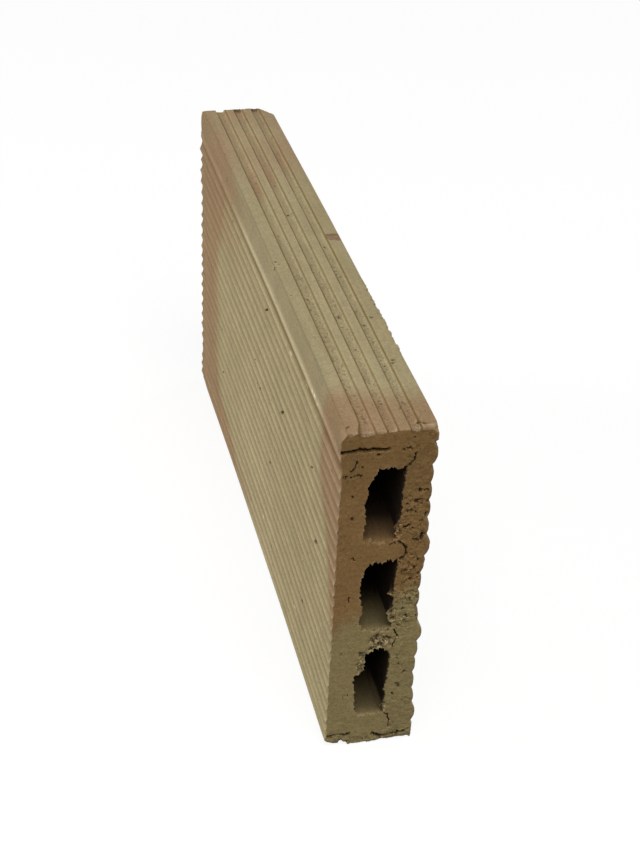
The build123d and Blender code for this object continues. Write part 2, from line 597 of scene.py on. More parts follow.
def bent(points):
    """Points of the straight brick moved to the slight bow of the fired one"""
    points = np.array(points, float)
    share = 1 - (points[..., 0] / (length / 2)) ** 2
    points[..., 1] = points[..., 1] * (thickness - bow) / thickness + bow * (share - 0.5)
    return points


# Wear of the skin along both ends
def rounding(distance, radius):
    """How far a worn edge of this radius lies in from the sharp one"""
    share = np.clip(1 - distance / np.maximum(radius, 1e-6), 0, 1)
    return radius * (1 - np.sqrt(1 - share**2))


def uneven_radii(places, face, radii, plays, lump, seed):
    """Radius of a worn edge at places round the section"""
    return np.choose(face, radii) + np.choose(face, plays) * fractal(places, lump, seed)


def near_wear(y, z, face):
    """Radius of the worn near edge round the section"""
    places = np.stack([y, z, 0 * y], -1)
    radius = uneven_radii(places, face, near_edge_radii, near_edge_plays, 2.2, 11)
    for side, wear, start, full in near_edge_stretches:
        radius = radius + (face == side) * wear * smooth(y, start, full)
    radius = radius + (face == BACK) * back_edge_roughness * noise(places, 0.9, 14)
    return np.clip(radius, smallest_edge_radius, None)


def far_wear(y, z, face):
    """Radius of the worn far edge round the section"""
    places = np.stack([y, z, 0 * y], -1)
    radius = uneven_radii(places, face, far_edge_radii, far_edge_plays, 2.6, 12)
    return np.clip(radius, smallest_edge_radius, None)


def near_dents(x, z):
    """How far the back face is drawn in near the near end"""
    draw = 0
    for depth, middle, half, slope_share in back_dents:
        draw = draw + depth * smooth(1 - abs(z - middle) / half, 0, slope_share)
    return draw * smooth(x, *back_dent_places)


class Skin:
    """Outer skin: the points of the section at each station along the brick, and what they are on"""

    def __init__(self):
        outline = section_outline()
        self.face, self.groove = outline.column("face"), outline.column("groove")
        self.crest, self.dirt = outline.column("crest"), outline.column("dirt")
        self.section = np.stack([outline.column("y"), outline.column("z")], 1)
        sides = [self.face == side for side in (FRONT, TOP, BACK, BOTTOM)]
        self.front, self.top, self.back, self.bottom = sides
        self.proud = self.front * np.clip(1 - (self.section[:, 0] - front_y) / flute_depth, 0, 1)
        self.far_lip = self.groove * self.top * (self.section[:, 0] > far_lip_y)
        stations = graded_stations(length, end_station_step, station_growth, body_station_step)
        share = stations[:, None] / length
        y, self.z = (np.broadcast_to(values, (len(stations), len(values))) for values in self.section.T)
        self.x = (2 * share - 1) * end_reach(self.z)
        self.to_near = (1 - share) * length
        self.to_far = share * length
        self.near_radius = near_wear(*self.section.T, self.face)
        self.place = np.stack([self.x, y, self.z], -1)
        self.place[..., 1:] += self.shifts()

    def unevenness(self):
        """How far the skin lies in from the die's section by waves, drag lines and nicks"""
        depth = skin_play + wave_height * (1 + fractal(self.place, (45, 14, 14), 1, 2)) / 2
        depth = depth + drag_height * noise(self.place, (60, 0.7, 0.7), 3)
        depth = depth + self.groove * groove_roughness * fractal(self.place, (1.6, 0.8, 0.8), 5, 2)
        nicks = smooth(noise(self.place, (3.5, 2, 2), 7), 0.45, 0.9)
        on_ridge = self.front * (self.crest > ridge_crest_share)
        return depth + on_ridge * nick_depth * nicks

    def wear(self):
        """How far the skin is worn or drawn in by the ends"""
        worn = rounding(self.to_near, self.near_radius[None])
        worn = worn + rounding(self.to_far, far_wear(*self.section.T, self.face)[None])
        worn = worn + self.back * near_dents(self.x, self.z)
        worn = worn + near_ridge_wear * self.proud * np.exp(-self.to_near / near_ridge_reach)
        drawn_in = self.front * (1 - smooth(self.z, 98.5, 100.5)) * by_end(self.to_far, far_front_reach, 0.8)
        ragged = noise(self.place, (200, 30, 9), 9) + noise(self.place, (4, 30, 2.4), 10)
        return worn + drawn_in * (far_front_draw + far_front_play * ragged)

    def shifts(self):
        """Shifts of all points in Y and Z from the die's section to the fired skin"""
        shift = -outward(self.section)[None] * self.unevenness()[..., None]
        shift = shift - from_core(self.section)[None] * self.wear()[..., None]
        self.shift_across(shift[..., 0])
        self.shift_up(shift[..., 1])
        return shift

    def shift_across(self, shift):
        """Adds to the shifts in Y: the top ridge and bevel, the flared front land and the back band"""
        z = self.z
        section_y, section_z = self.section.T
        by_ridge = self.front * band(z, (103, 104.5), (107.5, 111))
        shift += far_ridge_draw * by_ridge * by_end(self.to_far, far_ridge_reach)
        shift -= far_bevel_swell * self.front * smooth(z, 109, 115) * by_end(self.to_far, far_bevel_reach)
        square_share = np.clip((section_z - square_corner_z) / (height - square_corner_z), 0, 1)
        pressed_out = section_y - front_y - top_bevel_width * square_share
        pressed_out = self.front * (section_z > top_ridge_z) * pressed_out
        shift -= pressed_out * by_end(self.to_near, square_corner_reach, 0.9)
        flare = self.top * np.interp(section_y, land_flare_places, (0, 1, 0))
        shift -= land_flare * flare * by_end(self.to_near, land_flare_reach)
        shift += back_band_swell * self.back * smooth(z, 108.5, 110) * smooth(self.x, 60, 112)

    def shift_up(self, shift):
        """Adds to the shifts in Z: the top ridge, the worn foot, filled groove ends and drooping flutes"""
        x, z = self.x, self.z
        by_ridge = self.front * band(z, (103, 105.5), (108.5, 111))
        shift += by_ridge * np.interp(x, ridge_places, ridge_rises)
        shift += self.near_radius * self.bottom * by_end(self.to_near, foot_wear_reach)
        shift += far_lip_rise * self.far_lip * smooth(1 - self.to_far / far_lip_reach, 0.1, 0.7)
        near_fill = self.groove * by_end(self.to_near, near_groove_reach, 0.8)
        shift += top_groove_rise * self.top * near_fill
        shift -= bottom_groove_drop * self.bottom * (self.section[:, 0] > filled_foot_y) * near_fill
        fluted = self.front * band(z, (4, 12), (101, 104))
        held_up = flute_hold_share * smooth(z, 88, 98) * smooth(x, 0, 40)
        shift -= fluted * (1 - held_up) * np.interp(x, flute_droop_places, flute_droops)

    def shade(self):
        """Darkening of the far top and the middle of the front, and dust on the back land of the top"""
        x, z = self.x, self.z
        far = far_shade_share * (1 - smooth(x, -60, -10)) * smooth(z, 75, 100)
        middle = middle_shade_share * np.exp(-(((x - 62) / 28) ** 2) - ((z - 50) / 18) ** 2)
        dusty = self.top * (self.section[:, 0] > back_land_y) * (0.1 + 0.18 * smooth(x, -90, -45))
        return self.front * (far + middle) + dusty * (1 + 0.35 * noise(self.place, (16, 3, 9), 19))

    def paleness(self):
        """Pale fringe of the near end, the far end of the top and the foot of the front"""
        x = self.x
        fringe = smooth(noise(self.place, (3, 1.3, 1.3), 17), -0.3, 0.5) * by_end(self.to_near, 1.5, 0.8)
        pale = fringe * (top_fringe_share * self.top + ridge_fringe_share * self.proud)
        pale = pale + pale_top_share * self.top * (1 - smooth(x, -70, -30))
        return pale + pale_foot_share * self.front * np.exp(-((x / 45) ** 2)) * (1 - smooth(self.z, 30, 75))

    def marks(self):
        """Surface marks of all points"""
        x = self.x
        section_z = self.section[:, 1]
        on_top_ridge = self.front * (section_z > flutes_top_z + wide_flute_height / 2)
        unfaded = 1 - far_fade_share * self.front * (1 - smooth(x, -105, -15))
        shine = np.where(on_top_ridge, np.interp(x, ridge_places, ridge_shine_shares), unfaded)
        grey = np.where(self.top, top_grey_share, bevel_grey_share)
        marks = {
            "groove": self.groove,
            # Rubbed pale with painted highlights on ridges and lips, and dirt with painted shade in hollows
            # and grooves
            "crest": self.crest * shine,
            "dirt": self.dirt * unfaded + self.shade(),
            "grey": np.where(section_z > top_ridge_z, grey, 0),
            # Painted shadow and dirt at the foot of the lip that closes the grooves at the far end
            "cavity": far_lip_dark_share * self.far_lip * np.exp(-((self.to_far - 1.4) ** 2)),
            "pale": self.paleness(),
            "torn": torn_groove_share * self.groove * self.top * smooth(x, -20, 25),
        }
        return {name: np.broadcast_to(values, x.shape) for name, values in marks.items()}


# Cells
def along_polyline(points, count):
    """Points at equal steps along an open polyline, without its end"""
    points = np.array(points, float)
    reach = np.concatenate([[0], np.cumsum(np.linalg.norm(np.diff(points, axis=0), axis=1))])
    wanted = np.arange(count) / count * reach[-1]
    return np.stack([np.interp(wanted, reach, points[:, k]) for k in range(2)], 1)


def cell_ring(n):
    """Rounded rectangle of one cell, anticlockwise from its bottom right corner"""
    centre = np.array((cell_offset, height / 2 + (n - (cell_count - 1) / 2) * cell_pitch))
    half = np.array((cell_width, cell_height)) / 2
    corners = np.array(((1, -1), (1, 1), (-1, 1), (-1, -1))) * half
    counts = [round(side / cell_ring_step) for side in (cell_height, cell_width) * 2]
    sides = [along_polyline((corners[k], corners[(k + 1) % 4]), counts[k]) for k in range(4)]
    square = np.concatenate(sides)
    inner = np.clip(square, cell_corner_radius - half, half - cell_corner_radius)
    away = square - inner
    size = np.linalg.norm(away, axis=1, keepdims=True)
    return centre + inner + away / size * np.minimum(size, cell_corner_radius), counts


def mouth_ring(mouth, counts):
    """Ragged mouth of a cell with the same number of points on each side as its ring"""
    sides = []
    for k in range(4):
        points = mouth[k] + mouth[(k + 1) % 4][:1]
        sides.append(along_polyline(points, counts[k]))
    return np.concatenate(sides)


def cell_mouths(n, ring, counts, normal):
    """Ragged outlines of one cell at the near and the far end"""
    flat = flat_points(ring)
    roof = smooth(normal[:, 1], 0.3, 0.7)
    jags = np.random.default_rng(21 + n).uniform(-1, 1, len(ring))
    teeth = tooth_height * noise(flat, 0.8, 25 + n) + fine_tooth_height * noise(flat, 0.45, 28 + n)
    teeth = teeth + jag_height * jags
    teeth = teeth * (0.8 + 0.7 * roof)
    near = mouth_ring(near_mouths[n], counts) + normal * teeth[:, None]
    far = ring + normal * (far_mouth_play * fractal(flat, 1.6, 31 + n))[:, None]
    return near, far


def cell_painted_shade(n, normal, depth, end_share):
    """Painted shade on one cell's wall, lighter by the mouth and on the floor, by its distance from the
    nearer end and its share of that mouth's shape
    """
    floor = smooth(-normal[:, 1], 0.3, 0.8)
    back_wall = smooth(normal[:, 0], 0.3, 0.8)
    wall_light = end_share**0.8 * (1 - 0.85 * back_wall)
    reach = floor_light_reaches[n]
    deep_light = floor_light_shares[n] * (1 - smooth(depth, 0.6 * reach, 1.4 * reach))
    floor_light = 0.6 * np.exp(-depth / 1.2) + deep_light
    return 1 - wall_light * (1 - floor) - floor_light * floor


def cell_tube(n):
    """Grid of points of one cell's wall, and their marks"""
    ring, counts = cell_ring(n)
    normal = outward(ring)
    near, far = cell_mouths(n, ring, counts, normal)
    stations = graded_stations(length, cell_end_step, cell_station_growth, cell_station_step)
    share = (stations / length)[:, None]
    near_share = np.exp(-(1 - share) * length / mouth_reach)
    far_share = np.exp(-share * length / mouth_reach)
    section = ring[None] + near_share[..., None] * (near - ring)[None]
    section = section + far_share[..., None] * (far - ring)[None]
    x = (2 * share - 1) * end_reach(section[..., 1])
    place = np.concatenate([x[..., None], section], -1)
    drag = cell_drag_height * fractal(place, (50, 1.4, 1.4), 41 + n, 2) * (1 - near_share - far_share)
    place[..., 1:] += normal[None] * drag[..., None]
    depth = np.minimum(share, 1 - share) * length
    patchy = smooth(noise(flat_points(ring), 0.9, 34 + n), 0.1, 0.6)
    marks = {
        "cut": 1.0,
        # Painted shade inside the cell
        "gloom": cell_painted_shade(n, normal, depth, near_share + far_share),
        "pale": tube_rim_pale_share * smooth(near_share, 0.6, 0.95) * patchy[None],
    }
    return bent(place), {name: np.broadcast_to(values, x.shape) for name, values in marks.items()}


# Cut ends
def to_segments(points, line):
    """Distance of points from a polyline"""
    best = np.full(len(points), np.inf)
    for start, end in zip(np.array(line[:-1], float), np.array(line[1:], float)):
        along = end - start
        share = np.clip((points - start) @ along / (along @ along), 0, 1)
        best = np.minimum(best, np.linalg.norm(points - start - share[:, None] * along, axis=1))
    return best


def inside(points, polygon):
    """True for points inside a closed polygon"""
    y, z = points[:, 0, None], points[:, 1, None]
    here, there = polygon, np.roll(polygon, -1, axis=0)
    crosses = (here[:, 1] > z) != (there[:, 1] > z)
    rise = np.where(there[:, 1] == here[:, 1], 1, there[:, 1] - here[:, 1])
    reach = here[:, 0] + (z - here[:, 1]) * (there[:, 0] - here[:, 0]) / rise
    return (np.sum(crosses & (y < reach), axis=1) % 2) == 1


def crack_points(line, width, draw):
    """Points along the two lips and the bottom of a crack"""
    reach = np.sum(np.linalg.norm(np.diff(np.array(line, float), axis=0), axis=1))
    middle = along_polyline(line, max(3, round(reach / crack_step)))
    along = np.gradient(middle, axis=0)
    across = np.stack([-along[:, 1], along[:, 0]], 1) / np.linalg.norm(along, axis=1, keepdims=True)
    lips = [middle + side * across * width * draw.uniform(0.45, 0.75, (len(middle), 1)) for side in (-1, 1)]
    return np.concatenate([middle, *lips])


def pit_points(centre, radius):
    """Points on the bottom and the rim of a pit"""
    turns = np.arange(pit_rim_count) / pit_rim_count * 2 * math.pi
    rim = np.stack([np.cos(turns), np.sin(turns)], 1)
    return np.concatenate([[centre], np.array(centre) + rim * radius * 0.5, np.array(centre) + rim * radius])


def fill_points(step, draw):
    """Loose grid of points all over an end"""
    columns = np.arange(front_y, back_y, step)
    rows = np.arange(0, height, step * fill_row_share)
    grid = np.stack(np.meshgrid(columns, rows), -1)
    grid[1::2, :, 0] += step / 2
    grid = grid.reshape(-1, 2)
    return grid + draw.uniform(-fill_play_share, fill_play_share, grid.shape) * step


def apart(points, kept, gap):
    """Points that keep a distance from the kept ones"""
    tree = KDTree(len(kept))
    for n, (y, z) in enumerate(kept):
        tree.insert((y, z, 0), n)
    tree.balance()
    return np.array([(y, z) for y, z in points if tree.find((y, z, 0))[2] > gap])


def torn(points):
    """How torn the near end is: smooth on the front wall, rougher and in places grainy on the back wall"""
    y, z = points.T
    back_wall = smooth(y, 3.5, 6.5)
    grainy = smooth(y, 3, 5) * band(z, (42, 48), (68, 73))
    flaky = smooth(y, 3.5, 5.5) * band(z, (74, 78), (90, 95))
    foot = 1 - smooth(z, 3, 7)
    rough = 0.1 + 0.22 * back_wall + 0.55 * grainy + 0.3 * flaky + 0.4 * foot
    return np.clip(rough * (0.8 + 0.4 * fractal(flat_points(points), 4, 51)), 0, 1)


def crumbling(points):
    """How far the near end has crumbled, by how much the clay is set back and how pale it is"""
    found = np.zeros((3, len(points)))
    for centre, half, broken, pale in near_crumbs:
        share = np.linalg.norm((points - np.array(centre)) / np.array(half), axis=1)
        here = 1 - smooth(share, 0.6, 1.1)
        found = np.maximum(found, [here, here * broken, here * pale])
    return found


def warped(points, amount, cell, seed):
    """Points moved about by noise, for ragged outlines"""
    flat = flat_points(points)
    return points + amount * np.stack([noise(flat, cell, seed), noise(flat, cell, seed + 1)], 1)


def near_relief(points):
    """Depth of the near end behind its plane, its painted shade, how pale its crumbs are and how torn it is
    """
    flat = flat_points(points)
    ragged = warped(points, 0.28, 0.7, 68)
    rough = torn(points)
    crumb, broken, paleness = crumbling(warped(ragged, 0.8, 1.5, 76))
    lump = fractal(ragged[:, [0, 0, 1]], (0.8, 0.8, 1.2), 67, 3)
    hollow = smooth(fractal(ragged[:, [0, 0, 1]], (1.1, 1.1, 0.8), 70, 2), 0.7, 1.0) * smooth(rough, 0.2, 0.6)
    depth = 0.1 + 0.1 * fractal(flat, 7, 61, 2) + 0.015 * fractal(flat, (1, 6, 0.8), 66, 2)
    depth = depth + rough * torn_depth * (fractal(flat, 1.1, 63, 3) + 0.3)
    depth = depth + hollow_depth * hollow + broken * (crumb_depth + lump)
    # Painted shade in the small hollows and between the lumps of crumbs; the cracks and pits below add
    # theirs, dropped a little below each one
    dark = np.maximum(0.7 * hollow, 0.8 * crumb * smooth(lump, 0.35, 0.8))
    uneven = 1 + 0.4 * noise(flat, 1.2, 72)
    wavy = warped(points, 0.13, 0.8, 74)
    for width, deep, line in near_cracks:
        share, shade_share = (to_segments(wavy + drop, line) / (width * uneven) for drop in (0, shade_drop))
        darkness = crack_darkness if width < wide_crack else wide_crack_darkness
        depth = depth + deep * (1 - smooth(share, 0.15, 0.6))
        dark = np.maximum(dark, darkness * (1 - smooth(shade_share, 0.3, 0.65)))
    frayed = warped(points, 0.42, 0.6, 84)
    for radius, deep, places in near_pits:
        for place in places:
            offsets = (frayed + drop - np.array(place) for drop in (0, shade_drop))
            share, shade_share = (np.linalg.norm(offset, axis=1) / (radius * uneven) for offset in offsets)
            depth = depth + deep * (1 - smooth(share, 0.4, 1.1))
            dark = np.maximum(dark, pit_darkness * (1 - smooth(shade_share, 0.5, 1.1)))
    return np.clip(depth, 0, None), dark, paleness, np.maximum(rough, 0.7 * crumb)


def far_relief(points):
    """Depth of the far end behind its plane, its painted shade in pits, how pale its crumbs are and how torn
    it is
    """
    flat = flat_points(points)
    depth = 0.15 + 0.12 * fractal(flat, 7, 71, 2) + 0.15 * fractal(flat, 1.7, 73, 2)
    depth = depth + 0.06 * noise(flat, (1, 9, 0.8), 76)
    pit = smooth(noise(flat, (1, 1.6, 1.6), 78), 0.62, 0.85)
    return np.clip(depth + 0.6 * pit, 0, None), pit, np.zeros(len(points)), np.full(len(points), 0.5)


def near_details(draw):
    """Points that follow the cracks, the crumbs and the pits of the near end"""
    for width, _, line in near_cracks:
        yield crack_points(line, width, draw)
    for centre, half, _, _ in near_crumbs:
        spread = draw.uniform(-1, 1, (round(crumb_density * half[0] * half[1]), 2)) * np.array(half)
        yield np.array(centre) + spread
    for radius, _, places in near_pits:
        for place in places:
            yield pit_points(place, radius)


def on_end(points, outer, mouths):
    """True for points between the outer edge and the mouths of an end"""
    within = inside(points, outer)
    for mouth in mouths:
        within &= ~inside(points, mouth)
    return within


def cap_layout(outer, mouths, near):
    """Points and triangles of one cut end, the ring point that each one comes from, and the count of those"""
    step, seed = (near_cap_step, 81) if near else (far_cap_step, 82)
    draw = np.random.default_rng(seed)
    layers = [(points, detail_gap_share) for points in near_details(draw)] if near else []
    layers.append((fill_points(step, draw), fill_gap_share))
    rings = np.concatenate([outer, *mouths])
    points = rings
    for layer, gap_share in layers:
        added = apart(layer[on_end(layer, outer, mouths)], points, step * gap_share)
        points = np.concatenate([points, added.reshape(-1, 2)])
    edges = []
    for ring in (outer, *mouths):
        first, count = len(edges), len(ring)
        edges += [(first + n, first + (n + 1) % count) for n in range(count)]
    corners, _, faces, origins, *_ = delaunay_2d_cdt([Vector(p) for p in points], edges, [], 0, 1e-7)
    corners = np.array([tuple(p) for p in corners])
    triangles = np.array([f for f in faces if len(f) == 3])
    triangles = triangles[on_end(corners[triangles].mean(axis=1), outer, mouths)]
    sources = np.array([origin[0] if origin else -1 for origin in origins])
    return corners, triangles, sources, len(rings)


# Assembly of the mesh
mark_names = ("groove", "crest", "dirt", "grey", "cut", "gloom", "cavity", "pale", "crumb", "torn")


class Shape:
    """Points, faces and surface marks of the brick"""

    def __init__(self):
        self.points = []
        self.faces = []
        self.marks = {name: [] for name in mark_names}

    def add(self, points, **marks):
        """Adds points and returns the number of the first"""
        first = len(self.points)
        self.points.extend(points)
        for name, values in self.marks.items():
            values.extend(np.broadcast_to(marks.get(name, 0.0), len(points)).astype(float))
        return first

    def grid(self, place, flip, **marks):
        """Adds a tube of points, station by station, and returns its numbers"""
        stations, around = place.shape[:2]
        flat_marks = {name: np.ravel(values) for name, values in marks.items()}
        first = self.add(place.reshape(-1, 3), **flat_marks)
        numbers = first + np.arange(stations * around).reshape(stations, around)
        turned = np.roll(numbers, -1, axis=1)
        quads = np.stack([numbers[:-1], turned[:-1], turned[1:], numbers[1:]], -1).reshape(-1, 4)
        self.faces.extend(quads[:, ::-1] if flip else quads)
        return numbers


def mouth_rims(corners, mouths):
    """Pale patches of an end along its mouths"""
    closed = [np.concatenate([mouth, mouth[:1]]) for mouth in mouths]
    to_mouths = np.min([to_segments(corners, line) for line in closed], axis=0)
    patchy = smooth(noise(flat_points(corners), 1.2, 87), 0.0, 0.6)
    return end_rim_pale_share * (1 - smooth(to_mouths, 0.15, 0.6)) * patchy


def add_cap(shape, skin_ring, cell_rings, near):
    """Adds one cut end between the rings of the skin and of the cells"""
    points = np.array(shape.points)
    outer, *mouths = (points[ring][:, 1:] for ring in (skin_ring, *cell_rings))
    corners, triangles, sources, ring_count = cap_layout(outer, mouths, near)
    depth, dark, crumb, rough = near_relief(corners) if near else far_relief(corners)
    # Painted shade of the end's hollows, cracks and pits
    marks = {"cavity": dark, "crumb": crumb, "torn": rough}
    if near:
        marks["dirt"] = soot_share * smooth(corners[:, 1], *soot_heights)
        marks["pale"] = mouth_rims(corners, mouths)
    side = 1 if near else -1
    places = np.column_stack([side * (end_reach(corners[:, 1]) - depth), corners])
    on_ring = (sources >= 0) & (sources < ring_count)
    fresh = np.flatnonzero(~on_ring)
    first = shape.add(places[fresh], cut=1.0, **{name: values[fresh] for name, values in marks.items()})
    numbers = np.empty(len(corners), int)
    numbers[on_ring] = np.concatenate([skin_ring, *cell_rings])[sources[on_ring]]
    numbers[fresh] = first + np.arange(len(fresh))
    for corner in np.flatnonzero(on_ring):
        sunk = np.array((side * min(depth[corner], deepest_ring), 0, 0))
        shape.points[numbers[corner]] = shape.points[numbers[corner]] - sunk
    faces = numbers[triangles]
    shape.faces.extend(faces if near else faces[:, ::-1])


# Corners that are knocked off: a point of the break, its outward direction and its roughness
breaks = (
    ((-114.5, 12.2, 114.6), (-0.55, 0.8, 0.25), 0.5),
    ((118.0, 12.9, 114.4), (0.5, 0.6, 0.62), 0.3),
    ((115.6, -13.2, 1.8), (0.35, -0.5, -0.8), 0.3),
)
break_reach = (5, 11)


def knock_off(points):
    """Presses what lies beyond each break back to its rough plane"""
    for place, direction, roughness in breaks:
        direction = np.array(direction) / np.linalg.norm(direction)
        near = 1 - smooth(np.linalg.norm(points - np.array(place), axis=1), *break_reach)
        beyond = (points - np.array(place)) @ direction
        beyond = beyond + roughness * fractal(points, 1.8, 91)
        push = near * np.clip(beyond, 0, None)
        points = points - push[:, None] * direction
    return points


# Borders of the brown zones of both ends, as X at heights up the brick
far_brown_heights = (0, 10, 16, 30, 60, 80, 107)
far_brown_borders = (-30, -45, -68, -79, -78, -73, -64)
near_brown_heights = (38, 45, 52, 60, 70, 80, 90)
near_brown_borders = (121, 118, 114, 110, 105, 98, 94.5)

# On the near end the brown starts above this height at the front, and higher towards the back
cut_brown_z = 38.5
cut_brown_slope = 0.62
cut_brown_fade = 14


def far_brown(points, drift, on_top, groove):
    """Brown of the far half: its end, a haze and the foot of the front, bevel, top ridge and top"""
    x, y, z = points.T
    border = np.interp(z, far_brown_heights, far_brown_borders)
    end = 1 - smooth(x + 6 * drift, border - 12, border + 10)
    haze = 0.5 * (1 - smooth(x + 12 * drift, -64, -12)) * smooth(z, 62, 95)
    foot = 0.55 * (1 - smooth(z + 3 * drift, 5, 13)) * (1 - smooth(x + 12 * drift, -25, 15))
    side = np.max([end, haze, foot], axis=0)
    on_bevel = smooth(z, top_ridge_z, top_ridge_z + 2)
    side = side * (1 - on_bevel) + 0.8 * (1 - smooth(x + 12 * drift, -70, 0)) * on_bevel
    side = np.maximum(side, 0.2 * smooth(x + 8 * drift, 20, 50) * on_bevel)
    on_ridge = band(z, (102.5, 104.5), (107.5, 109))
    side = np.maximum(side, 0.85 * (1 - smooth(x + 8 * drift, -60, -5)) * on_ridge)
    patches = (0.65 + 0.35 * drift) * (1 - smooth(x + 8 * drift, -85, -30))
    by_bevel = 0.85 * smooth(-y, 7.5, 11) * (1 - smooth(x + 8 * drift, -80, -35))
    stains = 0.85 * groove * smooth(1 - abs(x + 72 - (8 - y) * 1.5 + 6 * drift) / 22, 0, 0.8)
    return side * (1 - on_top) + np.max([patches, by_bevel, stains], axis=0) * on_top


def brown_share(points, groove):
    """Where the skin fired brown: towards both ends, along the bottom and in the grooves of the far half"""
    x, y, z = points.T
    drift = fractal(points, 24, 101, 3)
    on_top = smooth(z, height - 2, height - 1.2)
    border = np.interp(z, near_brown_heights, near_brown_borders) + 4 * on_top * smooth(y, front_y, back_y)
    near = 0.95 * smooth(x + 2.2 * drift, border - 3 - 3 * on_top, border + 4 + 6 * on_top)
    return np.clip(np.maximum(far_brown(points, drift, on_top, groove), near), 0, 1)


def near_brown_share(points):
    """Where the near end is brown: above a slanting border"""
    _, y, z = points.T
    drift = 2.0 * fractal(points, 9, 105, 3) + 2.5 * noise(points, 1.1, 107)
    border = cut_brown_z + (y - front_y) * cut_brown_slope
    return smooth(z + drift, border, border + cut_brown_fade)


def build_shape():
    """The whole brick as points, faces and marks"""
    shape = Shape()
    skin = Skin()
    skin_numbers = shape.grid(bent(skin.place), False, **skin.marks())
    tubes = []
    for n in range(cell_count):
        place, marks = cell_tube(n)
        tubes.append(shape.grid(place, True, **marks))
    for near in (False, True):
        station = -1 if near else 0
        add_cap(shape, skin_numbers[station], [tube[station] for tube in tubes], near)
    return shape


def brick_mesh():
    """Mesh of the brick with its surface marks"""
    shape = build_shape()
    points = np.clip(knock_off(np.array(shape.points)), box_low, box_high)
    mesh = bpy.data.meshes.new("hollow_brick_skin")
    mesh.from_pydata((points * MM).tolist(), [], [[int(n) for n in corners] for corners in shape.faces])
    marks = {name: np.array(values) for name, values in shape.marks.items()}
    cut_near = marks["cut"] * (points[:, 0] > 0)
    marks["brown"] = np.where(cut_near > 0.5, near_brown_share(points), brown_share(points, marks["groove"]))
    for name, values in marks.items():
        layer = mesh.attributes.new(name, "FLOAT", "POINT")
        layer.data.foreach_set("value", values.astype(np.float32))
    return mesh


def surface_spots():
    """Centre, half width, depth, inward direction, long axis, stretch, mark and strength of each spot"""
    into_front, into_top = (0, 1, 0), (0, 0, -1)
    along = (1, 0, 0)
    for radius, depth, places in front_pits:
        for n, (x, z) in enumerate(places):
            slant = math.radians(front_pit_slants[n % len(front_pit_slants)])
            slanting = (math.cos(slant), 0, math.sin(slant))
            centre = (x, front_y + flute_depth / 2, z)
            # Painted shade in each front pit
            yield centre, radius, depth, into_front, slanting, front_pit_stretch, "cavity", 1.0
    for x, z in ridge_chips:
        yield (x, front_y, z), chip_half_width, chip_depth, into_front, along, chip_stretch, "pale", 1.1
    # Painted shade in the pits and gouges of the top, and pale chips
    on_top = ((top_pits, "cavity", 1.0), (top_gouges, "cavity", 0.7), (top_chips, "pale", 0.4))
    for table, mark, strength in on_top:
        for radius, depth, places in table:
            for x, y in places:
                yield (x, y, height - groove_depth / 2), radius, depth, into_top, along, 1.0, mark, strength
    # Smudges: dark brown stains on the clay
    for radius, strength, places in top_stains:
        for x, y in places:
            for mark, share in (("cavity", strength), ("brown", stain_brown_share)):
                yield (x, y, height), radius, 0.0, into_top, along, 1.0, mark, share


# How far from a spot the long edges of the skin are divided, along the brick and across it
spot_reach = 5.0
spot_margin = 0.4

# Longest edges that are left undivided round the burr and the spots, and on a spot itself
longest_edge = 1.2
longest_spot_edge = 0.3

# Cuts of each divided edge along the burr, round a spot and on it
burr_cuts = 8
strip_cuts = 7
spot_cuts = 2

# Points that lie deeper under a spot than this count as further from it
spot_thickness = 2

# Rim of a spot: shares of its half width that it fades over, and how ragged it is
spot_rim_shares = (0.7, 1.05)
spot_rim_play = 0.3


def all_places(work, places):
    """Places of all points of a mesh, given those of the first ones"""
    work.verts.ensure_lookup_table()
    made = [v.co / MM for v in work.verts[len(places):]]
    return np.concatenate([places, np.array(made).reshape(-1, 3)])


def divide(work, chosen, shortest, cuts):
    """Divides the edges between chosen points that are longer than the shortest"""
    verts = [work.verts[n] for n in np.flatnonzero(chosen)]
    picked = set(verts)
    linked = [e for v in verts for e in v.link_edges if e.other_vert(v) in picked]
    edges = list(dict.fromkeys(e for e in linked if e.calc_length() > shortest * MM))
    bmesh.ops.subdivide_edges(work, edges=edges, cuts=cuts, use_grid_fill=True)


def draw_burr(work):
    """Draws the ragged burr out of the back edge of the top, with painted shadow along it"""
    def on_edge(places):
        x, y, z = places.T
        along = (burr_start < x) & (x < burr_end)
        return along & (y > back_y - burr_band_width) & (z > height - burr_band_height)

    places = all_places(work, np.empty((0, 3)))
    divide(work, on_edge(places), longest_edge, burr_cuts)
    places = all_places(work, places)
    burr = np.flatnonzero(on_edge(places))
    place = places[burr]
    x, y, _ = place.T
    ends = band(x, (burr_start, burr_start + burr_fade), (burr_end - burr_fade, burr_end))
    edge = smooth(y, back_y - burr_band_width, back_y - burr_band_width / 2)
    reach = ends * edge * smooth(fractal(place, (1.4, 9, 9), 111, 3), -0.3, 0.7)
    # Painted shadow along the burr
    shade = ends * edge * smooth(fractal(place, (1.1, 1.5, 9), 113, 3), -0.1, 0.5)
    dirt = work.verts.layers.float["dirt"]
    for n, out, dark in zip(burr, reach, shade):
        vert = work.verts[n]
        vert.co.y = min(vert.co.y + burr_reach * out * MM, back_y * MM)
        vert.co.z = min(vert.co.z + burr_rise * out * MM, height * MM)
        vert[dirt] = max(vert[dirt], burr_shadow_share * dark)


def across_face(places, centre, inward, axis, stretch):
    """Offsets of points from a spot across its face, and their distances from it in the spot's own measure"""
    offset = places - np.array(centre)
    deep = offset @ inward
    flat = offset - deep[:, None] * inward
    drawn = flat - (flat @ axis)[:, None] * axis * (1 - 1 / stretch)
    return flat, np.linalg.norm(drawn, axis=1) + np.clip(abs(deep) - spot_thickness, 0, None)


